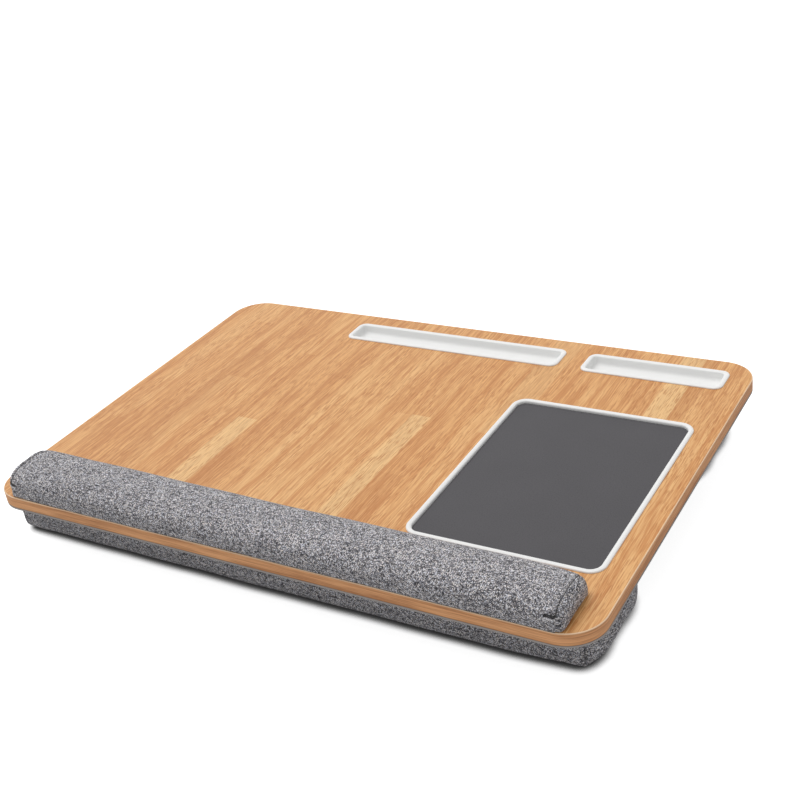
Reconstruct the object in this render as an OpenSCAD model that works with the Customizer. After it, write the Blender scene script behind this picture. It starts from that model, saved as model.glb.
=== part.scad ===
// Cushioned lap desk: a wood-grain board on two stuffed bolsters, with a padded wrist rest,
// a recessed mouse pad, a phone slot and a tablet slot.
// Millimetres. +Z is up, +X is to the user's right, +Y is away from the user.
// The origin is on the floor, under the middle of the board.

/* [Board] */
// Width of the board, left to right
board_w = 550; // [480:1:700]
// Depth of the board, front to back
board_d = 390; // [370:1:480]
// Radius of the board's corners
board_corner_r = 30; // [15:1:50]
// Thickness of the fibreboard core
core_t = 9.6; // [9.6:0.1:16]
// Thickness of the wood-grain sheet on top
veneer_t = 0.8; // [0.5:0.1:1.5]
// Thickness of the pale sheet underneath
backing_t = 1.6; // [0.8:0.1:3]
// Thickness of the wood-grain strip round the edge
band_t = 0.8; // [0.5:0.1:2]

/* [Inserts] */
// Distance from the board's right edge to the phone tray and the mouse-pad tray
insert_side_gap = 20; // [15:1:40]
// How far the inserts' rims stand above the board
rim_proud = 1.6; // [0.8:0.1:2]
// Play between an insert's body and its pocket in the board, on each side
pocket_play = 0.3; // [0.2:0.05:0.5]

/* [Mouse pad] */
// Width of the mouse-pad tray over its rim
mouse_w = 161; // [130:1:180]
// Depth of the mouse-pad tray over its rim
mouse_d = 212; // [150:1:230]
// Outer corner radius of the mouse-pad tray's rim
mouse_corner_r = 13; // [10:1:20]
// Width of the mouse-pad tray's rim
mouse_rim_w = 4.5; // [4:0.5:8]
// How far the mouse-pad tray's rim overhangs its body
mouse_lip_w = 2; // [1.5:0.5:3]
// Thickness of the mouse-pad tray's floor
mouse_floor_t = 1.2; // [0.8:0.1:1.6]
// Thickness of the foam under the mouse pad
mouse_foam_t = 1; // [0.6:0.1:2]
// Thickness of the mouse pad's dark sheet
mouse_sheet_t = 0.8; // [0.5:0.1:1.2]
// How far the mouse pad lies below the tray's rim
mouse_recess = 2.6; // [1:0.1:3.5]
// Gap between the wrist rest and the mouse-pad tray
mouse_front_gap = 12; // [3:0.1:20]

/* [Phone and tablet slots] */
// Length of the phone tray over its rim
phone_w = 130; // [100:1:150]
// Length of the tablet tray over its rim
tablet_w = 225; // [180:1:240]
// Depth of both trays, front to back, over their rims
slot_d = 33; // [26:0.5:38]
// Outer corner radius of the trays' rims
slot_corner_r = 8; // [7:0.5:12]
// Width of the trays' rims
slot_rim_w = 5; // [4:0.5:6]
// Thickness of the trays' side walls
slot_wall_t = 1.5; // [1:0.1:2]
// Thickness of the trays' floors
slot_floor_t = 1.2; // [0.8:0.1:1.6]
// Depth of the slots below the rims
slot_depth = 8; // [5:0.5:8.5]
// Distance from the board's back edge to both trays
slot_back_gap = 18.5; // [12:0.5:25]
// Gap between the two trays
slot_spacing = 22; // [15:1:40]

/* [Wrist rest] */
// Distance from the board's front edge to the wrist rest
wrist_front_gap = 1; // [0.5:0.1:8]
// Depth of the wrist rest
wrist_d = 53; // [45:0.5:60]
// Height of the wrist rest
wrist_h = 22; // [15:0.5:28]
// Distance from the board's sides to the wrist rest's end seams
wrist_end_gap = 26; // [24:1:60]
// How far the wrist rest's ends bulge past their seams
wrist_end_bulge = 6.5; // [4:0.5:12]
// Thickness of the wrist rest's stiffening strip
wrist_base_t = 1.5; // [1:0.1:3]

/* [Cushion] */
// Height of the bolsters
bolster_h = 38.8; // [25:0.1:60]
// Depth of each bolster
bolster_d = 105; // [90:1:130]
// Distance from the board's front and back edges to the bolsters
bolster_edge_gap = 20; // [12:1:30]
// Half of what the front bolster is shorter than the board, between its end seams
front_end_gap = 14; // [14:1:40]
// Half of what the rear bolster is shorter than the board, between its end seams
rear_end_gap = 19; // [14:1:40]
// How far the cushion sits to the left of the board's middle
cushion_shift = 3; // [0:0.5:6]
// How far the bolsters' ends bulge past their seams
bolster_end_bulge = 11; // [5:0.5:13]
// Thickness of the cloth panel bonded under the board
panel_t = 1.2; // [0.8:0.1:2]
// Thickness of the quilted web between the bolsters
web_t = 3; // [2:0.5:6]

/* [Cloth] */
// Thickness of the covers
cloth_t = 1; // [0.8:0.1:1.5]
// How far the covers draw in towards their end seams, on each side
end_draw = 2.5; // [1:0.5:4]
// Play between a cover and its filling
filling_play = 0.3; // [0.2:0.05:0.5]

/* [Hidden] */
$fn = 64;

// Colours, as they look in plain daylight
wood_tone = [0.80, 0.58, 0.36];
edge_tone = [0.68, 0.42, 0.26];
fibre_tone = [0.62, 0.50, 0.37];
pale_tone = [0.80, 0.79, 0.76];
white_tone = [0.93, 0.93, 0.93];
dark_tone = [0.35, 0.34, 0.35];
foam_tone = [0.85, 0.82, 0.72];
heather_tone = [0.45, 0.46, 0.50];
bead_tone = [0.92, 0.92, 0.90];

// Heights of the layers above the floor
panel_z = bolster_h;
backing_z = panel_z + panel_t;
core_z = backing_z + backing_t;
veneer_z = core_z + core_t;
board_top_z = veneer_z + veneer_t;
rim_top_z = board_top_z + rim_proud;

// The mouse-pad tray
mouse_x = board_w / 2 - insert_side_gap - mouse_w / 2;
mouse_y = -board_d / 2 + wrist_front_gap + wrist_d + mouse_front_gap + mouse_d / 2;
mouse_sheet_z = rim_top_z - mouse_recess - mouse_sheet_t;
mouse_foam_z = mouse_sheet_z - mouse_foam_t;
mouse_floor_z = mouse_foam_z - mouse_floor_t;

// The phone and tablet trays
phone_x = board_w / 2 - insert_side_gap - phone_w / 2;
tablet_x = phone_x - phone_w / 2 - slot_spacing - tablet_w / 2;
slot_y = board_d / 2 - slot_back_gap - slot_d / 2;
slot_floor_z = rim_top_z - slot_depth - slot_floor_t;
slot_lip_w = slot_rim_w - slot_wall_t;

// The wrist rest and the bolsters
wrist_y = -board_d / 2 + wrist_front_gap + wrist_d / 2;
wrist_half = board_w / 2 - wrist_end_gap;
wrist_base_top = cloth_t + wrist_base_t;
bolster_y = board_d / 2 - bolster_edge_gap - bolster_d / 2;
front_half = board_w / 2 - front_end_gap;
rear_half = board_w / 2 - rear_end_gap;

// Soft forms. A section is a rounded box: its power sets how square it is, and its pressed
// depth is how far it would reach past the flats that it rests on.
wrist_power = 3.4;
bolster_power = 5;
wrist_end_power = 3.8;
bolster_end_power = 2.8;
pressed = 0.8;
// Height of the wrist rest's widest level, as a share of its own height
wrist_widest = 0.26;
wrist_mid_z = wrist_h * wrist_widest;
// Points round a cover's section and round a filling's
cover_points = 28;
filling_points = 20;
// Stations along a soft form, as shares of its half length, and rings across its ends
stations = [-1, -0.95, -0.85, -0.5, 0, 0.5, 0.85, 0.95, 1];
end_rings = [1, 0.82, 0.5];

function signed_pow(v, p) = sign(v) * pow(abs(v), p);

// Points round a soft section at x, as [x, y, z]. The section is half_d deep on each side of
// y 0, reaches half_h above and below mid_z, and is cut flat at the heights low and high.
function section_ring(x, points, half_d, half_h, mid_z, low, high, power) =
    [for (i = [0 : points - 1])
        let (angle = 360 * i / points)
        [x,
         half_d * signed_pow(cos(angle), 2 / power),
         min(high, max(low, mid_z + half_h * signed_pow(sin(angle), 2 / power)))]];

// How far a side has drawn in at a station
function drawn_in(station) = end_draw * pow(abs(station), 8);

// A bolster's section at a station, moved inwards by an inset: row -1 is the front bolster,
// 1 the rear one
function bolster_ring(row, station, inset, points) =
    section_ring(station * (row < 0 ? front_half : rear_half), points,
                 bolster_d / 2 - drawn_in(station) - inset,
                 bolster_h / 2 + pressed - inset,
                 bolster_h / 2, inset, bolster_h - inset, bolster_power);

// The wrist rest's section at a station, moved inwards by an inset, and cut flat at a level
function wrist_ring(station, inset, points, level) =
    section_ring(station * wrist_half, points,
                 wrist_d / 2 - drawn_in(station) - inset,
                 wrist_h - wrist_mid_z - drawn_in(station) / 2 - inset,
                 wrist_mid_z, level, wrist_h - inset, wrist_power);

// A dome past a ring: copies of the ring, each a share of its size, that shrink towards
// y 0 and mid_z as they near the dome's crown, a bulge further along x
function domed_rings(ring, shares, mid_z, bulge, power) =
    [for (share = shares)
        [for (p = ring)
            [p[0] + bulge * (1 - pow(share, power)), p[1] * share,
             mid_z + (p[2] - mid_z) * share]]];

// Triangles between rings that follow each other, and back to the first where looped
function band_faces(points, rings, looped) =
    [for (j = [0 : rings - (looped ? 1 : 2)], i = [0 : points - 1])
        let (a = j * points + i,
             b = j * points + (i + 1) % points,
             c = ((j + 1) % rings) * points + (i + 1) % points,
             d = ((j + 1) % rings) * points + i)
        each [[a, c, b], [a, d, c]]];

// A fan of triangles from a ring to its apex
function fan_faces(points, first, apex, outward) =
    [for (i = [0 : points - 1])
        let (a = first + i, b = first + (i + 1) % points)
        outward ? [b, a, apex] : [a, b, apex]];

// An open tube of cloth: the outer rings one way, then the inner rings back
module cloth_tube(outer, inner) {
    rings = concat(outer, [for (k = [len(inner) - 1 : -1 : 0]) inner[k]]);
    polyhedron(points = [for (ring = rings) each ring],
               faces = band_faces(len(outer[0]), len(rings), true));
}

// A closed form: rings between two apexes
module closed_form(rings, first_apex, last_apex) {
    points = len(rings[0]);
    count = points * len(rings);
    polyhedron(points = concat([for (ring = rings) each ring], [first_apex, last_apex]),
               faces = concat(band_faces(points, len(rings), false),
                              fan_faces(points, 0, count, false),
                              fan_faces(points, count - points, count + 1, true)));
}

// A bulging end of cloth, sewn to a tube at its seam: an outer dome and an inner one
module cloth_end(outer, inner, mid_z, bulge, power) {
    seam_x = outer[0][0];
    way = sign(seam_x);
    outer_rings = domed_rings(outer, end_rings, mid_z, way * bulge, power);
    inner_rings = domed_rings(inner, end_rings, mid_z, way * (bulge - cloth_t), power);
    rings = concat([for (k = [len(end_rings) - 1 : -1 : 0]) inner_rings[k]], outer_rings);
    inner_apex = [seam_x + way * (bulge - cloth_t), 0, mid_z];
    outer_apex = [seam_x + way * bulge, 0, mid_z];
    if (way > 0)
        closed_form(rings, inner_apex, outer_apex);
    else
        closed_form([for (k = [len(rings) - 1 : -1 : 0]) rings[k]], outer_apex, inner_apex);
}

// A stuffed core: its sides follow the inside of a tube and its ends the inside of the ends
module stuffing(sides, mid_z, bulge, power) {
    first = sides[0];
    last = sides[len(sides) - 1];
    left = domed_rings(first, [end_rings[2], end_rings[1]], mid_z, -bulge, power);
    right = domed_rings(last, [end_rings[1], end_rings[2]], mid_z, bulge, power);
    closed_form(concat(left, sides, right),
                [first[0][0] - bulge, 0, mid_z], [last[0][0] + bulge, 0, mid_z]);
}

// A plate with round corners, centred on x 0 and y 0, standing on z 0
module rounded_plate(w, d, r, h) {
    linear_extrude(height = h)
        union() {
            square([w - 2 * r, d], center = true);
            square([w, d - 2 * r], center = true);
            for (sx = [-1, 1], sy = [-1, 1])
                translate([sx * (w / 2 - r), sy * (d / 2 - r)]) circle(r = r);
        }
}

// A layer of the board, drawn in by an inset all round
module board_layer(inset, h) {
    rounded_plate(board_w - 2 * inset, board_d - 2 * inset, board_corner_r - inset, h);
}

// The space that an insert's body takes in the board, with its play, down to a height
module insert_pocket(w, d, r, lip, floor_z) {
    play = pocket_play;
    translate([0, 0, floor_z])
        rounded_plate(w - 2 * lip + 2 * play, d - 2 * lip + 2 * play, r - lip + play,
                      rim_top_z - floor_z);
}

// All the pockets of the board
module board_pockets() {
    translate([mouse_x, mouse_y, 0])
        insert_pocket(mouse_w, mouse_d, mouse_corner_r, mouse_lip_w, mouse_floor_z);
    translate([phone_x, slot_y, 0])
        insert_pocket(phone_w, slot_d, slot_corner_r, slot_lip_w, slot_floor_z);
    translate([tablet_x, slot_y, 0])
        insert_pocket(tablet_w, slot_d, slot_corner_r, slot_lip_w, slot_floor_z);
}

// A moulded tray: a rim that lies on the board, and a body that hangs in its pocket
module moulded_tray(w, d, r, rim_w, lip_w, floor_z, floor_t) {
    difference() {
        union() {
            translate([0, 0, board_top_z]) rounded_plate(w, d, r, rim_proud);
            translate([0, 0, floor_z])
                rounded_plate(w - 2 * lip_w, d - 2 * lip_w, r - lip_w, board_top_z - floor_z);
        }
        translate([0, 0, floor_z + floor_t])
            rounded_plate(w - 2 * rim_w, d - 2 * rim_w, r - rim_w, rim_top_z - floor_z);
    }
}

// A layer that lies in the mouse-pad tray
module mouse_pad_layer(z, t) {
    translate([mouse_x, mouse_y, z])
        rounded_plate(mouse_w - 2 * mouse_rim_w, mouse_d - 2 * mouse_rim_w,
                      mouse_corner_r - mouse_rim_w, t);
}

module backing_sheet() {
    color(pale_tone) translate([0, 0, backing_z]) board_layer(0, backing_t);
}

module board_core() {
    color(fibre_tone) difference() {
        translate([0, 0, core_z]) board_layer(band_t, core_t);
        board_pockets();
    }
}

module top_veneer() {
    color(wood_tone) difference() {
        translate([0, 0, veneer_z]) board_layer(band_t, veneer_t);
        board_pockets();
    }
}

module edge_band() {
    band_h = core_t + veneer_t;
    color(edge_tone) translate([0, 0, core_z]) difference() {
        board_layer(0, band_h);
        translate([0, 0, -1]) board_layer(band_t, band_h + 2);
    }
}

module mouse_pad_tray() {
    color(white_tone) translate([mouse_x, mouse_y, 0])
        moulded_tray(mouse_w, mouse_d, mouse_corner_r, mouse_rim_w, mouse_lip_w,
                     mouse_floor_z, mouse_floor_t);
}

module mouse_pad_foam() {
    color(foam_tone) mouse_pad_layer(mouse_foam_z, mouse_foam_t);
}

module mouse_pad_sheet() {
    color(dark_tone) mouse_pad_layer(mouse_sheet_z, mouse_sheet_t);
}

module phone_tray() {
    color(white_tone) translate([phone_x, slot_y, 0])
        moulded_tray(phone_w, slot_d, slot_corner_r, slot_rim_w, slot_lip_w,
                     slot_floor_z, slot_floor_t);
}

module tablet_tray() {
    color(white_tone) translate([tablet_x, slot_y, 0])
        moulded_tray(tablet_w, slot_d, slot_corner_r, slot_rim_w, slot_lip_w,
                     slot_floor_z, slot_floor_t);
}

module wrist_rest_cover() {
    color(heather_tone) translate([0, wrist_y, board_top_z])
        cloth_tube([for (s = stations) wrist_ring(s, 0, cover_points, 0)],
                   [for (s = stations) wrist_ring(s, cloth_t, cover_points, cloth_t)]);
}

// One end of the wrist rest: side -1 is the left end, 1 the right end
module wrist_rest_end(side) {
    color(heather_tone) translate([0, wrist_y, board_top_z])
        cloth_end(wrist_ring(side, 0, cover_points, 0),
                  wrist_ring(side, cloth_t, cover_points, cloth_t),
                  wrist_mid_z, wrist_end_bulge, wrist_end_power);
}

module wrist_rest_left_end() {
    wrist_rest_end(-1);
}

module wrist_rest_right_end() {
    wrist_rest_end(1);
}

module wrist_rest_base() {
    base_inset = 4 * cloth_t + end_draw;
    color(fibre_tone)
        translate([-wrist_half, wrist_y - wrist_d / 2 + base_inset, board_top_z + cloth_t])
            cube([2 * wrist_half, wrist_d - 2 * base_inset, wrist_base_t]);
}

module wrist_rest_foam() {
    inset = cloth_t + filling_play;
    color(foam_tone) translate([0, wrist_y, board_top_z])
        stuffing([for (s = stations) wrist_ring(s, inset, filling_points, wrist_base_top)],
                 wrist_mid_z, wrist_end_bulge - inset, wrist_end_power);
}

module cushion_panel() {
    color(heather_tone)
        translate([-front_half - cushion_shift, -board_d / 2 + bolster_edge_gap, panel_z])
            cube([2 * front_half, board_d - 2 * bolster_edge_gap, panel_t]);
}

module cushion_web() {
    // The web's edges stand clear of the bolsters' sides at the height of its lower face
    rise = (bolster_h / 2 - web_t) / (bolster_h / 2 + pressed);
    side = bolster_d / 2 * pow(1 - pow(rise, bolster_power), 1 / bolster_power);
    half = bolster_y - side - filling_play;
    color(heather_tone) translate([-rear_half - cushion_shift, -half, bolster_h - web_t])
        cube([2 * rear_half, 2 * half, web_t]);
}

// Cover, ends and filling of a bolster
module bolster_cover(row) {
    color(heather_tone) translate([-cushion_shift, row * bolster_y, 0])
        cloth_tube([for (s = stations) bolster_ring(row, s, 0, cover_points)],
                   [for (s = stations) bolster_ring(row, s, cloth_t, cover_points)]);
}

module bolster_end(row, side) {
    color(heather_tone) translate([-cushion_shift, row * bolster_y, 0])
        cloth_end(bolster_ring(row, side, 0, cover_points),
                  bolster_ring(row, side, cloth_t, cover_points),
                  bolster_h / 2, bolster_end_bulge, bolster_end_power);
}

module bolster_filling(row) {
    inset = cloth_t + filling_play;
    color(bead_tone) translate([-cushion_shift, row * bolster_y, 0])
        stuffing([for (s = stations) bolster_ring(row, s, inset, filling_points)],
                 bolster_h / 2, bolster_end_bulge - inset, bolster_end_power);
}

module front_bolster_cover() {
    bolster_cover(-1);
}

module front_bolster_left_end() {
    bolster_end(-1, -1);
}

module front_bolster_right_end() {
    bolster_end(-1, 1);
}

module front_bolster_filling() {
    bolster_filling(-1);
}

module rear_bolster_cover() {
    bolster_cover(1);
}

module rear_bolster_left_end() {
    bolster_end(1, -1);
}

module rear_bolster_right_end() {
    bolster_end(1, 1);
}

module rear_bolster_filling() {
    bolster_filling(1);
}

backing_sheet();
board_core();
top_veneer();
edge_band();
mouse_pad_tray();
mouse_pad_foam();
mouse_pad_sheet();
phone_tray();
tablet_tray();
wrist_rest_cover();
wrist_rest_left_end();
wrist_rest_right_end();
wrist_rest_base();
wrist_rest_foam();
cushion_panel();
cushion_web();
front_bolster_cover();
front_bolster_left_end();
front_bolster_right_end();
front_bolster_filling();
rear_bolster_cover();
rear_bolster_left_end();
rear_bolster_right_end();
rear_bolster_filling();
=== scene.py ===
import math

import bmesh
import bpy
import numpy as np
from mathutils import Matrix, Vector
from mathutils.bvhtree import BVHTree


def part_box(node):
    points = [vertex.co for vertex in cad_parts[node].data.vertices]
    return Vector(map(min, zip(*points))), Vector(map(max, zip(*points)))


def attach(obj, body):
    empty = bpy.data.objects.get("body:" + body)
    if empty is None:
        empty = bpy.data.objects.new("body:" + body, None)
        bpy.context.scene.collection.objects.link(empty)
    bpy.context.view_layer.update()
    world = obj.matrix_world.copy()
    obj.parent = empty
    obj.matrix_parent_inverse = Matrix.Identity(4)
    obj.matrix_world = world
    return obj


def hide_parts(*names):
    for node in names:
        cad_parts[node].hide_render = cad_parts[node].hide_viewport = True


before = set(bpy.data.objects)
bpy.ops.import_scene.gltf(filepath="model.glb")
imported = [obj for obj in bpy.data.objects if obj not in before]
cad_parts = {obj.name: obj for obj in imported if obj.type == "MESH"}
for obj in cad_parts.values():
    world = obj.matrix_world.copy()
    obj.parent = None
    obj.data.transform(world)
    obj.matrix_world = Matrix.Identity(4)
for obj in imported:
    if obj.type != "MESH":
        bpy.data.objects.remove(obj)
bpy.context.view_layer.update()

bl_info = {
    "name": "Cushioned lap desk",
    "version": (1, 0, 0),
    "blender": (4, 5, 0),
    "location": "View3D > Sidebar > Lap desk",
    "description": "Builds the looks of a cushioned lap desk with a wrist rest, a mouse pad "
                   "and two device slots round its CAD frame",
    "category": "Object",
}

BODY = "root"

# The lap desk's flat levels and outline, as the frame has them
BOARD_LOW, BOARD_HIGH = (np.array(c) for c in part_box("edge_band"))
BOARD_TOP = float(BOARD_HIGH[2])


# ---------------------------------------------------------------------------
# Sizes and colours that a user would change
# ---------------------------------------------------------------------------

def length(name, description, default, **more):
    """A size in metres, as a property."""
    return bpy.props.FloatProperty(name=name, description=description, default=default,
                                   subtype="DISTANCE", unit="LENGTH", precision=5, **more)


def share(name, description, default, low=0.0, high=1.0):
    """A plain share, as a property."""
    return bpy.props.FloatProperty(name=name, description=description, default=default,
                                   min=low, max=high, subtype="FACTOR")


def number(name, description, default, **more):
    """A plain number, as a property."""
    return bpy.props.FloatProperty(name=name, description=description, default=default, **more)


def count(name, description, default):
    """A whole number, as a property."""
    return bpy.props.IntProperty(name=name, description=description, default=default, min=1)


def colour(name, description, default):
    """A linear colour, as a property."""
    return bpy.props.FloatVectorProperty(name=name, description=description, default=default,
                                         subtype="COLOR", size=3, min=0.0, max=1.0)


class BoardSettings(bpy.types.PropertyGroup):
    """The wood-look board: its top sheet, edge strip, core and backing."""
    corner_radius: length("Corner radius", "Radius of the board's four corners", 0.030)
    band_thickness: length("Edge strip thickness", "Thickness of the strip round the edge", 0.0008)
    arris: length("Arris", "Radius of the strip's rounded upper and lower edges", 0.0007)
    stave_width: length("Stave width", "Mean width of the laminate's printed staves", 0.021)
    stave_length: length("Stave length", "Mean length of the printed staves", 0.30)
    wood: colour("Wood", "Main tone of the oak-look laminate", (0.712, 0.338, 0.114))
    wood_dark: colour("Dark grain", "Tone of the darker streaks", (0.455, 0.168, 0.040))
    wood_pale: colour("Pale stave", "Tone of the palest staves", (0.870, 0.560, 0.255))
    edge: colour("Edge strip", "Main tone of the edge strip", (0.940, 0.480, 0.220))
    edge_dark: colour("Edge grain", "Tone of the edge strip's dark grain", (0.450, 0.180, 0.070))
    # Painted highlight: the tone painted on the strip's upper arris where light catches it
    edge_highlight: colour("Arris tone", "Tone of the strip's rubbed upper arris",
                      (0.950, 0.750, 0.520))
    backing: colour("Backing", "Tone of the sheet under the board", (0.400, 0.370, 0.350))
    fibre: colour("Fibreboard", "Tone of the core", (0.342, 0.214, 0.115))


class TraySettings(bpy.types.PropertyGroup):
    """The white moulded trays."""
    edge_radius: length("Rim edge radius", "Rounding of the rims' outer edges", 0.0012)
    inner_radius: length("Inner edge radius", "Rounding of the rims' inner edges", 0.0016)
    crown: length("Rim crown", "How far a rim is crowned across its width", 0.0002)
    rim_proud: length("Rim height", "Height of the rims above the board", 0.0016)
    mouse_corner: length("Mouse tray corner", "Outer corner radius of the mouse tray", 0.013)
    mouse_rim: length("Mouse tray rim", "Width of the mouse tray's rim", 0.0045)
    mouse_lip: length("Mouse tray lip", "How far that rim lies on the board", 0.002)
    mouse_floor: length("Mouse tray floor", "Thickness of that tray's floor", 0.0012)
    slot_corner: length("Slot corner", "Outer corner radius of the device slots", 0.008)
    slot_rim: length("Slot rim", "Width of the device slots' rims", 0.005)
    slot_lip: length("Slot lip", "How far those rims lie on the board", 0.0035)
    slot_floor: length("Slot floor", "Thickness of the slots' floors", 0.0012)
    slot_fillet: length("Slot fillet", "Radius between a slot's walls and its floor", 0.003)
    slot_draft: length("Slot draft", "How far a slot's walls lean in towards the floor", 0.0004)
    white: colour("White plastic", "Tone of the trays", (0.880, 0.880, 0.870))


class PadSettings(bpy.types.PropertyGroup):
    """The mouse pad's dark sheet and its thin foam."""
    corner_radius: length("Corner radius", "Radius of the pad's corners", 0.0085)
    edge_softness: length("Edge softness", "Rounding of the sheet's upper edge", 0.0004)
    grain: length("Grain", "Size of the sheet's fine grain", 0.0011)
    surface: colour("Pad surface", "Tone of the dark sheet", (0.080, 0.077, 0.083))
    foam: colour("Pad foam", "Tone of the thin foam", (0.033, 0.033, 0.033))


class ClothSettings(bpy.types.PropertyGroup):
    """The heather cloth of the wrist rest and the cushion."""
    thread: length("Thread pitch", "Distance from one thread to the next", 0.00078)
    relief: length("Weave relief", "Height of the threads' crowns", 0.00022)
    dark: colour("Dark yarn", "Tone of the darkest yarn", (0.060, 0.059, 0.066))
    middle: colour("Middle yarn", "Tone of most of the yarn", (0.305, 0.298, 0.318))
    light: colour("Light yarn", "Tone of the lightest yarn", (0.900, 0.885, 0.905))
    sheen: share("Sheen", "Soft sheen of the cloth's fuzz", 0.12)
    # Painted shade: how light the cloth is painted in a seam's fold and in the tucks and creases
    seam_shade: share("Seam tone", "How light the cloth is in a seam's fold", 0.16)


class WristSettings(bpy.types.PropertyGroup):
    """The padded wrist rest."""
    power: number("Squareness", "Power of the section above its widest level", 2.85, min=2.0)
    base_power: number("Base squareness", "Power of the section below that level", 3.4, min=2.0)
    left_power: number("Left foot", "Power of the left end at its foot", 2.4, min=1.5)
    left_top_power: number("Left top", "Power of the left end at its top", 20.0, min=1.5)
    right_power: number("Right foot", "Power of the right end at its foot", 12.0, min=1.5)
    right_top_power: number("Right top", "Power of the right end at its top", 2.4, min=1.5)
    widest: share("Widest level", "Height of the widest level, as a share of the rest's", 0.26)
    proud: length("Front reach", "How far the front stands in front of its place", 0.0012)
    left_draw: length("Left draw", "How far the sides draw in towards the left seam", 0.0014)
    right_draw: length("Right draw", "How far they draw in towards the right seam", 0.0003)
    left_bulge: length("Left bulge", "How far the left end bulges past its seam", 0.0050)
    right_bulge: length("Right bulge", "How far the right end bulges past its seam", 0.0054)
    lean: length("Lean", "How far the left end's front leans in", 0.0023)
    left_gap: length("Left gap", "How much the rest falls short at its left", 0.001)
    seam_depth: length("Seam depth", "Depth of the groove at an end seam", 0.0013)
    seam_width: length("Seam width", "Half width of that groove", 0.0011)
    waist: length("Waist", "How much slimmer the rest is in its middle", 0.0018)
    slant: number("Slant", "How far the rest's rear turns from the board's front edge", -0.0105)
    droop: length("Droop", "How far the right end's rear and top sink", 0.0022)
    tuck_height: length("Tuck height", "Height of the sewn tucks above the board", 0.0122)
    tuck_length: length("Tuck length", "Length of a sewn tuck beside an end seam", 0.0080)
    stitches: count("Stitches", "Stitches below each tuck", 6)
    stitch: length("Stitch", "Length of a stitch", 0.0011)
    slack: share("Slack", "How much larger the cloth is than its form", 0.02, 0.0, 0.2)
    pressure: number("Inner pressure", "Pressure of the padding in the simulation", 3.0)
    reach: length("Reach", "The furthest that a point may move in the simulation", 0.0009)
    fill: share("Fill", "From slack to tight", 0.8)
    around: count("Points around", "Points round the section", 72)
    along: count("Points along", "Stations along the rest", 150)


class CushionSettings(bpy.types.PropertyGroup):
    """The cushion's two rolls, its quilted web and its panel."""
    power: number("Squareness", "Power of a roll's section above its middle", 5.0, min=2.0)
    base_power: number("Base squareness", "Power of the section below it", 6.0, min=2.0)
    left_power: number("Left end squareness", "Power of the front roll's left end", 3.6, min=1.5)
    right_power: number("Right end squareness", "Power of the front roll's right end", 3.0,
                        min=1.5)
    rear_power: number("Rear roll's end squareness", "Power of the rear roll's ends", 2.8, min=1.5)
    left_draw: length("Left draw", "How far the front roll's sides draw in at its left", 0.0008)
    right_draw: length("Right draw", "How far they draw in at its right", 0.0035)
    left_bulge: length("Left bulge", "How far the front roll's left end bulges", 0.0105)
    right_bulge: length("Right bulge", "How far the front roll's right end bulges", 0.0113)
    rear_bulge: length("Rear bulge", "How far the rear roll's ends bulge", 0.009)
    pressed: length("Pressed depth", "How far a section reaches past its flats", 0.0008)
    shift: length("Shift", "How far left of its place the front roll lies", 0.0005)
    rear_shift: length("Rear shift", "How far left of its place the rear roll lies", 0.002)
    stretch: length("Stretch", "How much longer the front roll is at its left", 0.004)
    seam_depth: length("Seam depth", "Depth of the groove at an end seam", 0.0014)
    seam_width: length("Seam width", "Half width of that groove", 0.0013)
    slack: share("Slack", "How much larger the cloth is than its form", 0.03, 0.0, 0.2)
    pressure: number("Inner pressure", "Pressure of the filling in the simulation", 2.5)
    reach: length("Reach", "The furthest that a point may move in the simulation", 0.0012)
    fill: share("Fill", "From slack to tight", 0.7)
    around: count("Points around", "Points round the section", 96)
    along: count("Points along", "Stations along a roll", 140)
    channel: length("Channel pitch", "Distance between the web's sewn lines", 0.036)
    panel_corner: length("Panel corner", "Corner radius of the cloth panel", 0.018)


class StageSettings(bpy.types.PropertyGroup):
    """Camera, lights and floor."""
    camera_place: bpy.props.FloatVectorProperty(
        name="Camera place", description="Where the camera stands", size=3,
        default=(0.538897, -0.77456, 0.594453), subtype="TRANSLATION", unit="LENGTH")
    camera_right: bpy.props.FloatVectorProperty(
        name="Camera right", description="The picture's right, as a direction", size=3,
        default=(0.8636, 0.4880, -0.1269), subtype="DIRECTION")
    camera_up: bpy.props.FloatVectorProperty(
        name="Camera up", description="The picture's top, as a direction", size=3,
        default=(-0.1421, 0.4771, 0.8673), subtype="DIRECTION")
    lens: number("Lens", "Focal length in millimetres on a 36 mm wide sensor", 56.81)
    key_from: bpy.props.FloatVectorProperty(
        name="Key light from", description="Direction that the key light comes from", size=3,
        default=(-0.42, 0.16, 0.89), subtype="DIRECTION")
    key: number("Key light", "Strength of the key light", 1.62)
    key_softness: bpy.props.FloatProperty(
        name="Key softness", description="Angle of the key light's disc",
        default=math.radians(55), subtype="ANGLE")
    fill: number("Fill light", "Brightness of the pale surroundings", 0.52)
    floor_tone: share("Floor tone", "How much light the floor gives back", 0.56)
    floor_lift: number("Floor lift", "What the camera sees added to the open floor", 0.85)
    contact: length("Contact reach", "How near a thing darkens the floor under it", 0.010)


GROUPS = (BoardSettings, TraySettings, PadSettings, ClothSettings, WristSettings,
          CushionSettings, StageSettings)


class DeskSettings(bpy.types.PropertyGroup):
    """All settings of the lap desk."""
    board: bpy.props.PointerProperty(type=BoardSettings)
    trays: bpy.props.PointerProperty(type=TraySettings)
    pad: bpy.props.PointerProperty(type=PadSettings)
    cloth: bpy.props.PointerProperty(type=ClothSettings)
    wrist: bpy.props.PointerProperty(type=WristSettings)
    cushion: bpy.props.PointerProperty(type=CushionSettings)
    stage: bpy.props.PointerProperty(type=StageSettings)


def desk():
    """The settings kept on the scene."""
    return bpy.context.scene.lap_desk


# ---------------------------------------------------------------------------
# Materials
# ---------------------------------------------------------------------------

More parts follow.
